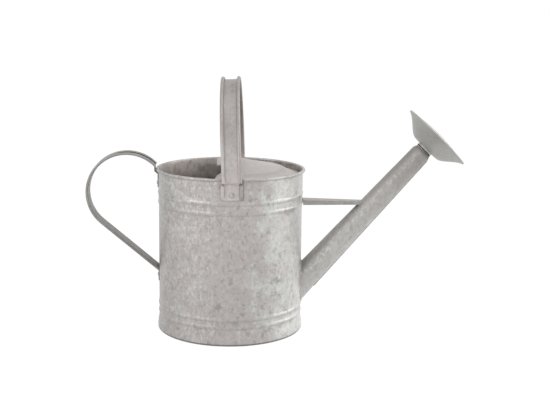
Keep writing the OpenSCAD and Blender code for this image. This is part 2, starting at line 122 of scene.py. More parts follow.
class ZincColours(bpy.types.PropertyGroup):
    """Colours of the weathered zinc."""
    warm: bpy.props.FloatVectorProperty(
        name="Warm grey", description="Smooth zinc with a faint pink cast", subtype="COLOR",
        size=3, min=0, max=1, default=linear(192, 186, 184))
    pale: bpy.props.FloatVectorProperty(
        name="Pale grey", description="Pale, slightly green patches of zinc", subtype="COLOR",
        size=3, min=0, max=1, default=linear(205, 206, 203))
    dark: bpy.props.FloatVectorProperty(
        name="Dark fleck", description="Small dark flecks of oxide", subtype="COLOR",
        size=3, min=0, max=1, default=linear(140, 136, 134))
    # Painted highlights: the colour of the bright flecks that are painted on as glints.
    bright: bpy.props.FloatVectorProperty(
        name="Bright fleck", description="Small bright crystals of zinc", subtype="COLOR",
        size=3, min=0, max=1, default=linear(217, 216, 213))
    # Painted shade: the colour mixed in where the finishes paint shade in creases, hollows and on sides
    # turned from the light, and also for a few real dark marks.
    shade_and_grime: bpy.props.FloatVectorProperty(
        name="Grime", description="Brown-grey dirt in corners and hollows", subtype="COLOR",
        size=3, min=0, max=1, default=linear(150, 142, 136))
    inside: bpy.props.FloatVectorProperty(
        name="Inside", description="Stained zinc on the inside of the can", subtype="COLOR",
        size=3, min=0, max=1, default=linear(192, 183, 177))
    rubber: bpy.props.FloatVectorProperty(
        name="Seal", description="Colour of the seal ring", subtype="COLOR",
        size=3, min=0, max=1, default=linear(46, 45, 44))


class SheetSizes(bpy.types.PropertyGroup):
    """Sizes of the sheet and of what is left by making the can."""
    sheet: bpy.props.FloatProperty(
        name="Sheet", description="Thickness of the can's sheet", subtype="DISTANCE", unit="LENGTH",
        min=0.0005, max=0.0012, default=0.0008)
    dent: bpy.props.FloatProperty(
        name="Dents", description="Depth of the shallow dents in the wall", subtype="DISTANCE",
        unit="LENGTH", min=0, max=0.002, default=0.0005)
    bead: bpy.props.FloatProperty(
        name="Solder bead", description="Radius of the solder bead round the spout's root",
        subtype="DISTANCE", unit="LENGTH", min=0.0005, max=0.003, default=0.0014)


class StageSettings(bpy.types.PropertyGroup):
    """Levels of the plain studio light."""
    ambient: bpy.props.FloatProperty(
        name="Ambient", description="Strength of the even light from all round",
        min=0, max=2, default=0.60)
    left_lamp: bpy.props.FloatProperty(
        name="Left lamp", description="Power of the soft lamp on the left, in watts",
        min=0, max=200, default=6)
    right_lamp: bpy.props.FloatProperty(
        name="Right lamp", description="Power of the soft lamp on the right, in watts",
        min=0, max=200, default=16)
    top_lamp: bpy.props.FloatProperty(
        name="Top lamp", description="Power of the soft lamp overhead, in watts",
        min=0, max=200, default=6)


# ---------------------------------------------------------------- finishes

PINK_CAST = linear(187, 179, 176)
COOL_CAST = linear(184, 185, 180)
DUST = linear(146, 137, 135)
RUBBER_BLOOM = linear(96, 94, 90)


class Amount:
    """A number that varies over a surface. An operator on it adds a Math node to its finish."""

    def __init__(self, finish, socket):
        self.finish, self.socket = finish, socket

    def by(self, operation, first, second):
        """A Math node on two amounts or numbers."""
        made = self.finish.node("ShaderNodeMath", {"operation": operation}, {0: first, 1: second})
        return Amount(self.finish, made.outputs[0])

    def __add__(self, other):
        return self.by("ADD", self, other)

    def __sub__(self, other):
        return self.by("SUBTRACT", self, other)

    def __rsub__(self, other):
        return self.by("SUBTRACT", other, self)

    def __mul__(self, other):
        return self.by("MULTIPLY", self, other)

    __radd__, __rmul__ = __add__, __mul__


class Finish:
    """The nodes of a material or a world, which are added one at a time."""

    def __init__(self, owner):
        owner.use_nodes = True
        self.owner = owner
        self.tree = owner.node_tree
        self.tree.nodes.clear()

    def node(self, kind, settings=None, sockets=None):
        """Adds a node, and gives its inputs their values or links them."""
        made = self.tree.nodes.new(kind)
        for name, value in (settings or {}).items():
            setattr(made, name, value)
        for key, value in (sockets or {}).items():
            if isinstance(value, Amount):
                value = value.socket
            if isinstance(value, bpy.types.NodeSocket):
                self.tree.links.new(value, made.inputs[key])
            else:
                made.inputs[key].default_value = value
        return made

    def place(self):
        """The place on the piece, which moves with it."""
        return self.node("ShaderNodeTexCoord").outputs["Object"]

    def stretched(self, place, scale, shift=(0, 0, 0)):
        """The place, scaled along each axis and shifted."""
        made = self.node("ShaderNodeMapping", {}, {"Vector": place, "Scale": scale, "Location": shift})
        return made.outputs[0]

    def noise(self, place, scale, detail=2.0, roughness=0.5):
        """Smooth noise about 0.5."""
        made = self.node("ShaderNodeTexNoise", {}, {
            "Vector": place, "Scale": scale, "Detail": detail, "Roughness": roughness})
        return Amount(self, made.outputs["Fac"])

    def wandering(self, place, scale, reach):
        """The place, shifted to and fro by a coarse noise."""
        noise = self.node("ShaderNodeTexNoise", {}, {"Vector": place, "Scale": scale, "Detail": 2.0})
        shift = self.scaled(noise.outputs["Color"], reach)
        return self.node("ShaderNodeVectorMath", {"operation": "ADD"}, {0: place, 1: shift}).outputs[0]

    def crystals(self, place, scale):
        """A random number for each crystal of zinc."""
        cells = self.node("ShaderNodeTexVoronoi", {}, {"Vector": place, "Scale": scale})
        parts = self.node("ShaderNodeSeparateColor", {}, {"Color": cells.outputs["Color"]})
        return Amount(self, parts.outputs["Red"])

    def step(self, value, low, high):
        """0 below low and 1 above high, with a smooth change between them."""
        made = self.node("ShaderNodeMapRange", {"interpolation_type": "SMOOTHSTEP"}, {
            "Value": value, "From Min": low, "From Max": high})
        return Amount(self, made.outputs["Result"])

    def mixed(self, share, first, second):
        """The first colour, with a share of the second one."""
        made = self.node("ShaderNodeMix", {"data_type": "RGBA"}, {
            0: share, 6: colour(first), 7: colour(second)})
        return made.outputs[2]

    def scaled(self, vector, level):
        """A colour or a vector times a level."""
        made = self.node("ShaderNodeVectorMath", {"operation": "SCALE"}, {0: vector, "Scale": level})
        return made.outputs[0]

    def near(self, place, centre, inner, outer):
        """1 within inner of a point and 0 beyond outer."""
        made = self.node("ShaderNodeVectorMath", {"operation": "DISTANCE"}, {0: place, 1: tuple(centre)})
        return 1.0 - self.step(Amount(self, made.outputs["Value"]), inner, outer)

    def facing(self):
        """The three parts of the surface's normal."""
        return self.coordinates(self.node("ShaderNodeTexCoord").outputs["Normal"])

    def seen(self):
        """1 for a ray from the camera, also by way of a mirror or through glass."""
        path = self.node("ShaderNodeLightPath")
        shown = Amount(self, path.outputs["Is Camera Ray"])
        for kind in ("Is Glossy Ray", "Is Transmission Ray"):
            shown = shown.by("MAXIMUM", shown, Amount(self, path.outputs[kind]))
        return shown

    def coordinates(self, place):
        """The three parts of a vector."""
        parts = self.node("ShaderNodeSeparateXYZ", {}, {"Vector": place})
        return [Amount(self, parts.outputs[k]) for k in range(3)]

    def relief(self, height, strength, distance, normal=None):
        """A bumped normal, on top of another one if that is given."""
        sockets = {"Height": height, "Strength": strength, "Distance": distance}
        if normal is not None:
            sockets["Normal"] = normal
        return self.node("ShaderNodeBump", {}, sockets).outputs[0]

    def surface(self, **sockets):
        """Ends the material with its shader, and gives the material."""
        shader = self.node("ShaderNodeBsdfPrincipled", {}, {
            key.replace("_", " "): value for key, value in sockets.items()})
        self.node("ShaderNodeOutputMaterial", {}, {"Surface": shader.outputs[0]})
        return self.owner


def colour(value):
    """A colour socket as it is, or three levels with full alpha added."""
    return value if isinstance(value, bpy.types.NodeSocket) else (*value[:3], 1.0)


def amount_of(setting, f, place):
    """A finish's setting, which is a number or a function of the finish and its place."""
    return setting(f, place) if callable(setting) else setting


def wall_zones_and_reflections(f, place, patch, cloud, blotch):
    """How the patches and specks lie round the can's wall: plain in the middle, and busier at both sides.
    The plain middle and the paler spout side are painted reflections of the dark room and of the lamp on the
    right; the patches and specks themselves are the zinc's own.
    Gives the patches, the share of fine specks, the share of dark flecks, and the extra glints, which are
    painted highlights, high up."""
    across, _, height = f.coordinates(place)
    ragged = across + (cloud - 0.5) * 0.08 + (blotch - 0.5) * 0.16
    # Painted reflections: the spout side is paler and the middle plainer, where the lamp on the right and
    # the dark room are mirrored.
    spout_side_reflection = f.step(ragged, 0.022, 0.050)
    handle_side_sparkle = 1.0 - f.step(ragged, -0.034, -0.006)
    middle = (1.0 - spout_side_reflection) * (1.0 - handle_side_sparkle)
    patch = (1.0 - middle * 0.8) * (patch * 0.5 + spout_side_reflection * 0.5)
    speckled = 1.0 - middle * 0.8 - spout_side_reflection * 0.45
    rare = 1.0 - handle_side_sparkle * 0.45
    # Painted highlights: extra glints high on the handle's side, where the left lamp catches the zinc.
    high = handle_side_sparkle * f.step(height, 0.10, 0.19) * 0.28
    return patch, speckled, rare, high


def zinc(name, tone=1.0, patches=0.5, flecks=1.0, bright=0.5, grain=1.0, pink=0.0, cool=0.0, zones=False,
         rough=0.5, metal=0.5, stain=0.0, shade=None):
    """Weathered galvanised zinc: worn crystals, cloudy patches, flecks of oxide and a fine upright grain,
    with painted glints.
    tone is its level and bright its share of glints, which are painted highlights: each is a number, or a
    function of the finish and its place. pink and cool mix in a cast, and stain mixes in the inside's brown.
    zones lays the patches, with painted reflections and painted glints, out round the can's wall. shade is a
    function of the finish and its place that gives how much painted shade, with a few real dark marks,
    darkens them."""
    palette = bpy.context.scene.can_colours
    f = Finish(bpy.data.materials.new(name))
    place = f.place()
    spangle = f.crystals(f.wandering(place, 120.0, 0.009), 165.0)
    small = f.crystals(f.wandering(place, 260.0, 0.004), 390.0)
    upright = f.noise(f.stretched(place, (1.0, 1.0, 0.42)), 430.0, 2.0, 0.6)
    cloud = f.noise(place, 17.0, 5.0, 0.62)
    blotch = f.noise(f.stretched(place, (1.0, 1.0, 0.7), (0.31, 0.17, 0.05)), 62.0, 4.0, 0.62)
    speck = f.noise(f.stretched(place, (1.0, 1.0, 0.8), (0.7, 0.2, 0.4)), 112.0, 3.0, 0.6)
    glint = f.noise(f.stretched(place, (1.0, 1.0, 0.7), (0.1, 0.9, 0.3)), 235.0, 4.0, 0.65)
    dust = f.noise(f.stretched(place, (1.0, 1.0, 0.6), (0.5, 0.4, 0.8)), 270.0, 3.0, 0.6)

    patch = f.step(blotch * 0.7 + cloud * 0.55, 0.66 - 0.10 * patches, 0.72 - 0.10 * patches) * 0.8
    speckled, rare, high = 1.0, 1.0, 0.0
    if zones:
        patch, speckled, rare, high = wall_zones_and_reflections(f, place, patch, cloud, blotch)
    tint = f.mixed(patch, palette.warm, palette.pale)
    for share, cast in ((pink, PINK_CAST), (cool, COOL_CAST)):
        if share:
            tint = f.mixed(share, tint, cast)
    # Painted highlights: glints painted as bright flecks, with more of them high on the handle's side.
    glints = f.step(glint, 0.47, 0.63) * speckled * (high + amount_of(bright, f, place))
    tint = f.mixed(glints, tint, palette.bright)
    tint = f.mixed(f.step(dust, 0.58, 0.66) * (0.36 * flecks), tint, DUST)
    tint = f.mixed(f.step(speck, 0.575, 0.655) * rare * (0.42 * flecks), tint, palette.dark)
    if stain:
        mould = f.step(f.noise(place, 60.0, 5.0, 0.65), 0.40, 0.62)
        tint = f.mixed(mould * 0.35 + stain, tint, palette.inside)
    level = (spangle - 0.5) * (0.13 * grain) + (small - 0.5) * (0.10 * grain) + amount_of(tone, f, place)
    level = level + (upright - 0.5) * (0.36 * grain) * speckled + (cloud - 0.5) * 0.12
    tint = f.scaled(tint, level)
    if shade is not None:
        # Painted shade: the colour is darkened towards the shade colour as far as shade says; a few of its
        # marks are real dirt.
        shade_and_grime = f.mixed(0.55, tint, palette.shade_and_grime)
        tint = f.mixed(shade(f, place), tint, f.scaled(shade_and_grime, 0.72))
    roughness = (spangle - 0.5) * 0.12 + (cloud - 0.5) * 0.25 + rough
    bump = f.relief(f.noise(place, 42.0, 3.0, 0.5), 0.22, 0.0022)
    bump = f.relief(spangle * 0.4 + upright, 0.10, 0.0004, bump)
    return f.surface(Base_Color=tint, Roughness=roughness, Metallic=metal, Normal=bump)


def seal_rubber(name):
    """Matt black rubber with a bloom of dust."""
    f = Finish(bpy.data.materials.new(name))
    place = f.place()
    dust = f.step(f.noise(place, 300.0, 4.0, 0.6), 0.45, 0.75)
    tint = f.mixed(dust * 0.35, bpy.context.scene.can_colours.rubber, RUBBER_BLOOM)
    bump = f.relief(f.noise(place, 900.0, 2.0), 0.2, 0.0002)
    return f.surface(Base_Color=tint, Roughness=0.7 - dust * 0.1, Normal=bump)


def finish_node(name, material):
    """Gives a node of the frame its finish."""
    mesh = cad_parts[name].data
    for k in range(max(1, len(mesh.materials))):
        if k < len(mesh.materials):
            mesh.materials[k] = material
        else:
            mesh.materials.append(material)


# ---------------------------------------------------------------- modelling

def alone(piece):
    """Makes a piece the only one that is selected, and the active one."""
    bpy.ops.object.select_all(action="DESELECT")
    piece.select_set(True)
    bpy.context.view_layer.objects.active = piece


def edit(piece):
    """Opens a piece with all of its mesh selected."""
    alone(piece)
    bpy.ops.object.mode_set(mode="EDIT")
    bpy.ops.mesh.select_mode(type="VERT")
    bpy.ops.mesh.select_all(action="SELECT")


def edit_selected(piece, kind):
    """Opens a piece with the faces or edges that are marked on its mesh selected."""
    alone(piece)
    bpy.context.tool_settings.mesh_select_mode = (False, kind == "EDGE", kind == "FACE")
    bpy.ops.object.mode_set(mode="EDIT")


def done():
    """Closes the piece that is open."""
    bpy.ops.object.mode_set(mode="OBJECT")


def settle(piece):
    """Moves a piece's place, turn and scale into its mesh."""
    alone(piece)
    bpy.ops.object.transform_apply(location=True, rotation=True, scale=True)


def apply_modifier(piece, name, kind, **settings):
    """Gives a piece a modifier and applies it."""
    made = piece.modifiers.new(name, kind)
    for key, value in settings.items():
        setattr(made, key, value)
    alone(piece)
    bpy.ops.object.modifier_apply(modifier=name)


def turned(name, section, steps, rolled=False):
    """A sheet turned about the upright axis: its first ring is extruded and scaled from point to point.
    Its normals face outwards. A sheet whose outermost part is rolled over has to be marked as rolled,
    because that part's outward face is the sheet's inner one."""
    bpy.ops.object.select_all(action="DESELECT")
    radius, height = section[0]
    bpy.ops.mesh.primitive_circle_add(vertices=steps, radius=radius, location=(0, 0, height))
    piece = bpy.context.active_object
    piece.name = piece.data.name = name
    settle(piece)
    edit(piece)
    for (r0, z0), (r1, z1) in zip(section, section[1:]):
        bpy.ops.mesh.extrude_edges_move(TRANSFORM_OT_translate={"value": (0, 0, z1 - z0)})
        if r1 == 0:
            bpy.ops.mesh.merge(type="CENTER")
            break
        bpy.ops.transform.resize(value=(r1 / r0, r1 / r0, 1), center_override=(0, 0, z1))
    bpy.ops.mesh.select_all(action="SELECT")
    bpy.ops.mesh.remove_doubles(threshold=1e-6)
    bpy.ops.mesh.normals_make_consistent(inside=rolled)
    done()
    return piece


def keep_strip(piece, half_width, side):
    """Cuts a turned sheet down to the strip that lies on its +X side (side 1) or its -X side (side -1)."""
    edit(piece)
    cuts = (((0, half_width, 0), (0, 1, 0)), ((0, -half_width, 0), (0, -1, 0)), ((0, 0, 0), (-side, 0, 0)))
    for point, normal in cuts:
        bpy.ops.mesh.select_all(action="SELECT")
        bpy.ops.mesh.bisect(plane_co=point, plane_no=normal, clear_outer=True)
    done()


def cut_away(piece, cutter):
    """Takes one closed shape out of another."""
    apply_modifier(piece, "Cut", "BOOLEAN", operation="DIFFERENCE", object=cutter, solver="EXACT")
    bpy.data.objects.remove(cutter)


def rod(radius, start, axis, length, steps=96):
    """A closed round rod that is only used to cut with."""
    bpy.ops.object.select_all(action="DESELECT")
    middle = (0, 0, length / 2)
    bpy.ops.mesh.primitive_cylinder_add(vertices=steps, radius=radius, depth=length, location=middle)
    made = bpy.context.active_object
    settle(made)
    set_along(made, start, axis)
    return made


def tube_turn(axis):
    """Turns the upright axis into one that leans towards +X, about Y."""
    return Matrix.Rotation(math.atan2(axis.x, axis.z), 4, "Y")


def set_along(piece, start, axis):
    """Turns a piece's upright axis into the given one and sets it at a point, with its place in its mesh."""
    piece.matrix_world = Matrix.Translation(start) @ tube_turn(axis)
    settle(piece)


def dented(piece, depth, size, name):
    """Presses shallow dents into a sheet, which never stand out of it."""
    cloud = bpy.data.textures.new(name, "CLOUDS")
    cloud.noise_scale = size
    cloud.noise_depth = 2
    apply_modifier(piece, "Dents", "DISPLACE", texture=cloud, texture_coords="LOCAL", direction="NORMAL",
                   mid_level=1.0, strength=depth)


def thicken(piece, thickness, outside, inside, offset=-1.0, even=True):
    """Gives a sheet its thickness. The face that was added takes the inside's material."""
    for material in (outside, inside):
        piece.data.materials.append(material)
    apply_modifier(piece, "Sheet", "SOLIDIFY", thickness=thickness, offset=offset, use_even_offset=even,
                   use_quality_normals=True, material_offset=1)


def finished(piece, body, slot, replaced, *materials, angle=35):
    """Smooths a piece and tells the frame its body and the nodes that it replaces. Its slot is not used."""
    for material in materials:
        piece.data.materials.append(material)
    alone(piece)
    bpy.ops.object.shade_smooth_by_angle(angle=math.radians(angle))
    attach(piece, body)
    if replaced:
        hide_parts(*replaced)
    return piece


# ---------------------------------------------------------------- the stage

def set_camera(scene):
    """Adds the camera."""
    camera = bpy.data.objects.new("camera", bpy.data.cameras.new("camera"))
    scene.collection.objects.link(camera)
    axes = (CAMERA_RIGHT, CAMERA_UP, CAMERA_RIGHT.cross(CAMERA_UP))
    camera.matrix_world = Matrix(axes).transposed().to_4x4()
    camera.location = CAMERA_AT
    camera.data.sensor_width = 36
    camera.data.lens = CAMERA_LENS
    camera.data.shift_x, camera.data.shift_y = CAMERA_SHIFT
    camera.data.clip_end = 50
    scene.camera = camera


def set_lamp(scene, name, power, angle, away, height, size):
    """Adds a soft square lamp. Its angle is in degrees, from the camera's side round towards +X."""
    lamp = bpy.data.lights.new(name, "AREA")
    lamp.shape = "SQUARE"
    lamp.size = size
    lamp.energy = power
    stand = bpy.data.objects.new(name, lamp)
    scene.collection.objects.link(stand)
    turn = math.radians(angle)
    stand.location = (away * math.sin(turn), -away * math.cos(turn), height)
    stand.rotation_mode = "QUATERNION"
    stand.rotation_quaternion = (LAMP_AIM - stand.location).to_track_quat("-Z", "Y")


def set_world(scene, ambient):
    """Adds the even light from all round. The camera sees it as plain white."""
    world = bpy.data.worlds.new("studio")
    f = Finish(world)
    even = f.node("ShaderNodeBackground", {}, {"Color": (1, 1, 1, 1), "Strength": ambient})
    white = f.node("ShaderNodeBackground", {}, {"Color": (1, 1, 1, 1), "Strength": 1})
    pick = f.node("ShaderNodeMixShader", {}, {0: f.seen(), 1: even.outputs[0], 2: white.outputs[0]})
    f.node("ShaderNodeOutputWorld", {}, {"Surface": pick.outputs[0]})
    scene.world = world


def set_floor():
    """Adds the pale floor, which still takes a faint shadow where the camera sees it."""
    bpy.ops.object.select_all(action="DESELECT")
    bpy.ops.mesh.primitive_plane_add(size=60, location=(0, 0, FLOOR_Z))
    floor = bpy.context.active_object
    floor.name = "floor"
    settle(floor)
    f = Finish(bpy.data.materials.new("white_floor"))
    plain = f.node("ShaderNodeBsdfDiffuse", {}, {"Color": (0.8, 0.8, 0.8, 1)})
    glow = f.node("ShaderNodeEmission", {}, {"Color": (1, 1, 1, 1), "Strength": 1.08})
    blend = f.node("ShaderNodeMixShader", {}, {0: f.seen() * 0.88, 1: plain.outputs[0], 2: glow.outputs[0]})
    f.node("ShaderNodeOutputMaterial", {}, {"Surface": blend.outputs[0]})
    floor.data.materials.append(f.owner)


class WATERINGCAN_OT_stage(bpy.types.Operator):
    """Sets the camera, the soft lamps, the world and the pale floor"""
    bl_idname = "wateringcan.stage"
    bl_label = "Stage"

    def execute(self, context):
        scene = context.scene
        levels = scene.can_stage
        set_camera(scene)
        set_lamp(scene, "left_lamp", levels.left_lamp, angle=-52, away=1.6, height=0.95, size=0.9)
        set_lamp(scene, "right_lamp", levels.right_lamp, angle=96, away=1.6, height=0.70, size=1.1)
        set_lamp(scene, "top_lamp", levels.top_lamp, angle=30, away=0.3, height=1.9, size=1.2)
        set_world(scene, levels.ambient)
        set_floor()
        scene.view_settings.view_transform = "Standard"
        return {"FINISHED"}


# ---------------------------------------------------------------- the wall

def ridge_line(z, below, above):
    """A soft ridge between a wall of radius below and a wall of radius above, from its lower end up."""
    out = []
    for k in range(11):
        share = k / 10
        base = below + (above - below) * share
        swell = RIDGE_SWELL * math.sin(math.pi * share) ** 2
        out.append((base + swell, z + RIDGE_W * (share - 0.5) * 1.25))
    return out


def filled(section, longest):
    """The section with points added wherever two of them are further apart than longest."""
    out = [section[0]]
    for (r0, z0), (r1, z1) in zip(section, section[1:]):
        parts = max(1, math.ceil(math.hypot(r1 - r0, z1 - z0) / longest))
        out += [(r0 + (r1 - r0) * k / parts, z0 + (z1 - z0) * k / parts) for k in range(1, parts + 1)]
    return out


def wall_section(sheet):
    """The wall's outer line, from the foot's turned-in edge up to the end of the rim's roll."""
    section = [(FOOT_R - 6 * MM, 0)]
    for k in range(7):
        turn = math.radians(-90 + 15 * k)
        section.append((FOOT_R - FOOT_ROLL_R + FOOT_ROLL_R * math.cos(turn),
                        FOOT_ROLL_R + FOOT_ROLL_R * math.sin(turn)))
    section += [(FOOT_R, 6 * MM), (FOOT_R - 0.4 * MM, 10 * MM), (FOOT_R - 1.2 * MM, 15 * MM),
                (CAN_R + 0.2 * MM, 19 * MM)]
    # The wall stands out a little between the two upper ridges and the rim
    for z, below, above in zip(RIDGES, (CAN_R, CAN_R, CAN_R, BAND_R), (CAN_R, CAN_R, BAND_R, BAND_R)):
        section += ridge_line(z, below, above)
    section.append((BAND_R, RIM_Z))
    rim_mid, roll_r = BAND_R - sheet + RIM_R, RIM_R - sheet
    for k in range(1, 17):
        turn = math.radians(180 - 20 * k)
        section.append((rim_mid + roll_r * math.cos(turn), RIM_Z + roll_r * math.sin(turn)))
    return section


def wall_tone_and_shade(f, place):
    """Painted shadow along the foot's edge, painted shade on the handle's side and painted light towards the
    spout, and a little paler towards the rim.
    """
    x, _, z = f.coordinates(place)
    # Painted shade on the handle's side of the wall and painted light on its spout's side.
    across = f.step(x, -0.09, -0.05) * 0.10 + f.step(x, 0.08, 0.098) * 0.10
    # Painted shadow: darkest along the foot's edge.
    return across + f.step(z, 0.03, 0.19) * 0.07 + f.step(z, 1.8 * MM, 4.0 * MM) * 0.5 + 0.27


def wall_shade(f, place):
    """Painted shade and painted shadow at the foot, under the ridges, in the roll of the rim and round the
    front tab.
    """
    x, y, z = f.coordinates(place)
    foot = 1.0 - f.step(z, 2.0 * MM, 4.0 * MM)
    rim = f.step(z, CAN_H - 4.6 * MM, CAN_H - 3.6 * MM)
    off = x - 1.5 * MM
    beside = 1.0 - f.step(off * off, (15.2 * MM) ** 2, (16.6 * MM) ** 2)
    front = 1.0 - f.step(y, -0.09, -0.08)
    tab = beside * front * f.step(z, FRONT_TAB_LOW - 1.8 * MM, FRONT_TAB_LOW - 0.4 * MM)
    # Painted shade under each ridge.
    lines = 0.0
    for ridge in RIDGES:
        starts = f.step(z, ridge - 4.6 * MM, ridge - 3.0 * MM)
        lines = starts * (1.0 - f.step(z, ridge - 2.6 * MM, ridge - 1.0 * MM)) + lines
    # Painted shadow round the front tab is strongest on its right; painted shade in the rim's roll.
    return foot + lines * 0.26 + rim * 0.33 + tab * (f.step(off, 0, 0.005) * 0.45 + 0.35)


def inner_tone_and_shade(f, place):
    """Blotched, and with painted shade high up where the cover stands before it."""
    x, _, z = f.coordinates(place)
    mould = f.step(f.noise(place, 75.0, 4.0, 0.6), 0.44, 0.62)
    # Painted shade under the cover, high on the spout's side of the inner wall.
    return 1.06 - mould * 0.3 - f.step(x, 0.0, 0.03) * f.step(z, 0.2, 0.21) * 0.34


class WATERINGCAN_OT_wall(bpy.types.Operator):
    """Models the wall with its rolled rim, ridges, foot and seam, and finishes the base"""
    bl_idname = "wateringcan.wall"
    bl_label = "Wall and base"

    def execute(self, context):
        sizes = context.scene.can_sizes
        outside = zinc("wall_outside", tone=wall_tone_and_shade, zones=True, bright=0.55, rough=0.46, shade=wall_shade)
        inside = zinc("wall_inside", stain=0.7, tone=inner_tone_and_shade, bright=0.2, rough=0.62, metal=0.4)
        wall = turned("wall_sheet", filled(wall_section(sizes.sheet), 5 * MM), 168, rolled=True)
        dented(wall, sizes.dent, 0.055, "wall_dents")
        thicken(wall, sizes.sheet, outside, inside)
        # The rim is rolled outwards, so both faces of its sheet belong to the outside
        for face in wall.data.polygons:
            if face.center.z > RIM_Z or face.center.to_2d().length > BAND_R + 0.3 * MM:
                face.material_index = 0
        cut_away(wall, rod(18 * MM, SPOUT_ROOT - 30 * MM * SPOUT_AXIS, SPOUT_AXIS, 60 * MM))
        finished(wall, "can", "wall_zinc", ["body_wall"])

        seam = turned("wall_seam", filled([(SEAM_R, 43 * MM), (SEAM_R, 174 * MM)], 6 * MM), 300)
        keep_strip(seam, 4.5 * MM, 1)
        thicken(seam, 0.7 * MM, outside, outside)
        seam.rotation_euler = (0, 0, SEAM_TURN)
        settle(seam)
        finished(seam, "can", "wall_zinc", [])
        finish_node("base_pan", zinc("base_finish", stain=0.5, tone=0.95, rough=0.6))
        return {"FINISHED"}


# ---------------------------------------------------------------- the half cover

def cover_section():
    """The cover's line from the wall in and up: a sloping brim, a soft crease, and the shallow cone."""
    outer, top = COVER_HIGH.x, COVER_HIGH.z
    cone_r, cone_drop, cone_rise = 66 * MM, 18.4 * MM, 14.4 * MM
    section = [(outer, top - 29 * MM)]
    section += [(radius * MM, top - drop * MM) for radius, drop in (
        (96, 28.2), (90, 26.5), (84, 24.3), (78, 21.4), (74.5, 19.4), (72.5, 18.8), (69, 18.7))]
    for k in range(12):
        share = k / 12
        section.append((cone_r * (1 - share), top - cone_drop + cone_rise * share))
    peak = top - 4 * MM
    return section + [(2 * MM, peak - 0.6 * MM), (0, peak - 0.4 * MM)]


def cut_back_edge(cover):
    """Cuts the edge behind the axis: a tab in the middle, a straight edge, and corners that run back."""
    cuts = [((COVER_TAB_X, 0, 0), (1, 0, 0)), ((COVER_EDGE_X, 0, 0), (1, 0, 0))]
    for side, (corner_y, slope) in COVER_CORNERS.items():
        cuts += [((0, side * COVER_TAB_Y, 0), (0, 1, 0)), ((0, side * corner_y, 0), (0, 1, 0)),
                 ((COVER_EDGE_X, side * corner_y, 0), (1, side * slope, 0))]
    edit(cover)
    for point, normal in cuts:
        bpy.ops.mesh.select_all(action="SELECT")
        bpy.ops.mesh.bisect(plane_co=point, plane_no=normal)
    bpy.ops.mesh.select_all(action="DESELECT")
    done()
    for face in cover.data.polygons:
        x, y = face.center.x, abs(face.center.y)
        corner_y, slope = COVER_CORNERS[-1 if face.center.y < 0 else 1]
        if y < COVER_TAB_Y:
            limit = COVER_TAB_X
        elif y < corner_y:
            limit = COVER_EDGE_X
        else:
            limit = COVER_EDGE_X - slope * (y - corner_y)
        face.select = x < limit
    edit_selected(cover, "FACE")
    bpy.ops.mesh.delete(type="FACE")
    done()


def turn_down_edge(cover):
    """Turns the edge behind the axis down, by extruding every free edge that isn't on the wall."""
    mesh = cover.data
    uses = Counter(key for face in mesh.polygons for key in face.edge_keys)
    for item in (*mesh.polygons, *mesh.edges, *mesh.vertices):
        item.select = False
    for edge in mesh.edges:
        reach = min(mesh.vertices[k].co.to_2d().length for k in edge.vertices)
        edge.select = uses[edge.key] == 1 and reach < COVER_HIGH.x - 0.1 * MM
    edit_selected(cover, "EDGE")
    bpy.ops.mesh.extrude_edges_move(TRANSFORM_OT_translate={"value": (0, 0, -COVER_LIP)})
    bpy.ops.mesh.select_all(action="SELECT")
    bpy.ops.mesh.normals_make_consistent(inside=False)
    done()


def cover_shade(f, place):
    """Painted shade in the crease between the cone and its brim."""
    flat = f.stretched(place, (1, 1, 0))
    # Painted shade: a ring in the crease.
    ring = f.near(flat, (0, 0, 0), 74 * MM, 82 * MM) * (1.0 - f.near(flat, (0, 0, 0), 68 * MM, 73 * MM))
    return ring * 0.28


class WATERINGCAN_OT_cover(bpy.types.Operator):
    """Models the half cover, a shallow cone with a sloping brim, and its turned-down edge"""
    bl_idname = "wateringcan.cover"
    bl_label = "Half cover"

    def execute(self, context):
        cover = turned("cover_sheet", cover_section(), 144)
        cut_back_edge(cover)
        turn_down_edge(cover)
        dented(cover, 0.5 * MM, 0.045, "cover_dents")
        outside = zinc("cover_outside", tone=0.95, pink=0.55, patches=0.1, flecks=0.25, bright=0.1,
                       grain=0.45, shade=cover_shade)
        inside = zinc("cover_inside", stain=0.6, tone=0.9, bright=0.1, rough=0.6, metal=0.4)
        thicken(cover, context.scene.can_sizes.sheet, outside, inside, even=False)
        finished(cover, "can", "cover_zinc", ["half_cover"])
        return {"FINISHED"}


# ---------------------------------------------------------------- the handles

def carry_shade(f, place):
    """Painted shade on the arch's inner side and on the curl on the spout's side, darker round the front
    rivet, and two small dark marks near the top."""
    x, y, z = f.coordinates(place)
    _, ny, nz = f.facing()
    over_legs = f.step(z, ARCH_MID_Z, 0.30) * (z - ARCH_MID_Z)
    # Painted shade on the inner side of the arch.
    under = 1.0 - f.step(ny * y + nz * over_legs, -0.06, 0.0)
    ring = f.near(place, FRONT_RIVET, 3.6 * MM, 4.8 * MM)
    # Painted shade on the curl on the spout's side.
    curl = f.step(x, 10.5 * MM, 11.5 * MM) * 0.65
    wide = f.stretched(place, (0.45, 0, 1))
    upper, lower = (f.near(wide, mark, 0.7 * MM, 1.4 * MM) for mark in ARCH_MARKS)
    marks = (upper + lower) * (1.0 - f.step(y, -0.02, -0.01))
    return under * f.step(z, 0.22, 0.235) * 0.8 + (ring + marks) * 0.6 + curl * (1.0 - under)


def carry_tone(f, place):
    """Paler towards the feet."""
    return 1.14 - f.step(f.coordinates(place)[2], 0.215, 0.32) * 0.46


def pouring_tone(f, place):
    """Darker down the arm."""
    return f.step(f.coordinates(place)[2], 0.13, 0.18) * 0.11 + 0.52


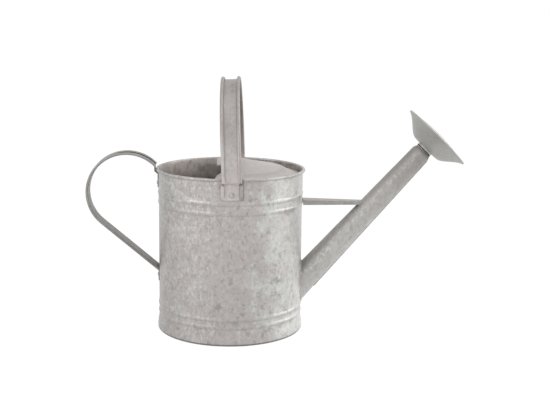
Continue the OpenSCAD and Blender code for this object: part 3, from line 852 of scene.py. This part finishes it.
class WATERINGCAN_OT_handles(bpy.types.Operator):
    """Finishes both strap handles and their rivets"""
    bl_idname = "wateringcan.handles"
    bl_label = "Handles and rivets"

    def execute(self, context):
        finish_node("top_handle", zinc("handle_finish", tone=carry_tone, pink=0.5, patches=0.1, flecks=0.35,
                                       bright=0.12, grain=0.6, shade=carry_shade))
        finish_node("back_handle", zinc("pouring_handle_finish", tone=pouring_tone, cool=0.3, patches=0.2,
                                        flecks=0.2, bright=0.1, grain=0.4))
        rivet = zinc("rivet_finish", tone=0.86, grain=0.4)
        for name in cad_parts:
            if name.endswith("_rivet"):
                finish_node(name, rivet)
        return {"FINISHED"}


# ---------------------------------------------------------------- the spout

def upper_side(f):
    """How far the spout's surface faces up, away from its axis."""
    nx, _, nz = f.facing()
    return nz * SPOUT_AXIS.x - nx * SPOUT_AXIS.z


def spout_shade(f, place):
    """Painted shade along the upper side, darker towards the mouth, and a dark ring at the seal."""
    height = f.coordinates(place)[2]
    seal = f.near(place, MOUTH, 12.6 * MM, 13.4 * MM)
    # Painted shade along the upper side.
    return f.step(upper_side(f), 0.45, 0.95) * 0.35 + f.step(height, 0.12, 0.25) * 0.6 + seal


def spout_painted_highlight(f, place):
    """Painted highlight: bright flecks in a band above the middle of each side."""
    upper = upper_side(f)
    # Painted highlight: more glints in a band above the middle of each side.
    return f.step(upper, 0.05, 0.35) * (1.0 - f.step(upper, 0.5, 0.75)) * 0.7 + 0.12


def brace_shade(f, place):
    """Darker all over, with painted shade most on the sides."""
    return 0.5 - f.step(f.facing()[2], 0.3, 0.7) * 0.2


def solder_ring(bead):
    """The bead of solder round the spout's root: a ring laid on the wall, then given its round section."""
    bpy.ops.object.select_all(action="DESELECT")
    bpy.ops.mesh.primitive_circle_add(vertices=120, radius=SPOUT_ROOT_R + 0.6 * MM)
    ring = bpy.context.active_object
    ring.name = "spout_solder"
    ring.matrix_world = Matrix.Translation(SPOUT_ROOT + 30 * MM * SPOUT_AXIS) @ tube_turn(SPOUT_AXIS)
    apply_modifier(ring, "Lay", "SHRINKWRAP", target=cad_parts["body_wall"], wrap_method="PROJECT",
                   use_project_z=True, use_negative_direction=True, use_positive_direction=False)
    settle(ring)
    bpy.ops.object.convert(target="CURVE")
    ring.data.bevel_depth = bead
    ring.data.bevel_resolution = 3
    bpy.ops.object.convert(target="MESH")
    return bpy.context.active_object


class WATERINGCAN_OT_spout(bpy.types.Operator):
    """Models the spout with its lap and its bead of solder, and finishes the brace"""
    bl_idname = "wateringcan.spout"
    bl_label = "Spout and brace"

    def execute(self, context):
        sizes = context.scene.can_sizes
        outside = zinc("spout_outside", tone=1.02, patches=-0.2, cool=0.5, flecks=0.6, bright=spout_painted_highlight,
                       grain=0.8, rough=0.58, shade=spout_shade)
        inside = zinc("spout_inside", stain=0.6, tone=0.8, rough=0.6)
        # The tube starts inside the can, and narrows at the neck to the drawn-in mouth
        back = 34 * MM
        line = [(SPOUT_ROOT_R + SPOUT_TAPER * back, -back),
                (SPOUT_TIP_R + 0.15 * MM, SPOUT_NECK - 2 * MM),
                (SPOUT_TIP_R - 0.1 * MM, SPOUT_NECK - 0.4 * MM),
                (SPOUT_TIP_R - 0.6 * MM, SPOUT_NECK + 0.5 * MM),
                (SPOUT_MOUTH_R + 0.6 * MM, SPOUT_LEN - 1.2 * MM), (SPOUT_MOUTH_R, SPOUT_LEN)]
        tube = turned("spout_sheet", filled(line, 5 * MM), 96)
        dented(tube, 0.45 * MM, 0.03, "spout_dents")
        thicken(tube, sizes.sheet, outside, inside)
        set_along(tube, SPOUT_ROOT, SPOUT_AXIS)
        cut_away(tube, rod(CAN_R + 0.05 * MM, Vector((0, 0, 0)), Vector((0, 0, 1)), CAN_H, 256))
        finished(tube, "can", "spout_zinc", ["spout_tube"])

        # The lap of the rolled tube, along its underside
        line = [(SPOUT_ROOT_R - SPOUT_TAPER * 3 * MM, 7 * MM), (SPOUT_TIP_R, SPOUT_NECK - 3 * MM)]
        lap = turned("spout_lap", filled(line, 6 * MM), 144)
        keep_strip(lap, 2.6 * MM, 1)
        thicken(lap, 0.6 * MM, outside, outside, offset=1.0)
        set_along(lap, SPOUT_ROOT, SPOUT_AXIS)
        finished(lap, "can", "spout_zinc", [])

        solder = zinc("solder_finish", tone=0.86, grain=0.5, rough=0.4)
        ring = solder_ring(sizes.bead)
        dented(ring, 0.5 * MM, 0.006, "solder_lumps")
        finished(ring, "can", "spout_zinc", [], solder, angle=80)
        finish_node("spout_brace", zinc("brace_finish", tone=0.90, cool=0.5, patches=0.0, flecks=0.3,
                                        grain=0.5, shade=brace_shade))
        return {"FINISHED"}


# ---------------------------------------------------------------- the rose

class WATERINGCAN_OT_rose(bpy.types.Operator):
    """Finishes the rose and its seal"""
    bl_idname = "wateringcan.rose"
    bl_label = "Rose"

    def execute(self, context):
        finish_node("rose_cone", zinc("rose_finish", tone=0.84, patches=-1.5, cool=0.8, flecks=0.15,
                                      bright=0.05, grain=0.35))
        finish_node("rose_face", zinc("face_finish", tone=0.9, cool=0.4, grain=0.4, rough=0.52))
        finish_node("rose_neck", zinc("neck_finish", tone=0.9, grain=0.4))
        finish_node("rose_seal_ring", seal_rubber("seal_finish"))
        return {"FINISHED"}


class VIEW3D_PT_watering_can(bpy.types.Panel):
    """Lists the steps that make the can's looks"""
    bl_label = "Watering can"
    bl_space_type = "VIEW_3D"
    bl_region_type = "UI"
    bl_category = "Watering can"

    def draw(self, context):
        for step in STEPS:
            self.layout.operator(step.bl_idname)


SETTINGS = {"can_colours": ZincColours, "can_sizes": SheetSizes, "can_stage": StageSettings}
STEPS = (WATERINGCAN_OT_stage, WATERINGCAN_OT_wall, WATERINGCAN_OT_cover, WATERINGCAN_OT_handles,
         WATERINGCAN_OT_spout, WATERINGCAN_OT_rose)


def register():
    for group in (*SETTINGS.values(), *STEPS, VIEW3D_PT_watering_can):
        bpy.utils.register_class(group)
    for name, group in SETTINGS.items():
        setattr(bpy.types.Scene, name, bpy.props.PointerProperty(type=group))


def unregister():
    for name in SETTINGS:
        delattr(bpy.types.Scene, name)
    for group in reversed((*SETTINGS.values(), *STEPS, VIEW3D_PT_watering_can)):
        bpy.utils.unregister_class(group)


def main():
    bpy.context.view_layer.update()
    register()
    for step in STEPS:
        area, name = step.bl_idname.split(".")
        getattr(getattr(bpy.ops, area), name)()


if __name__ == "__main__":
    main()
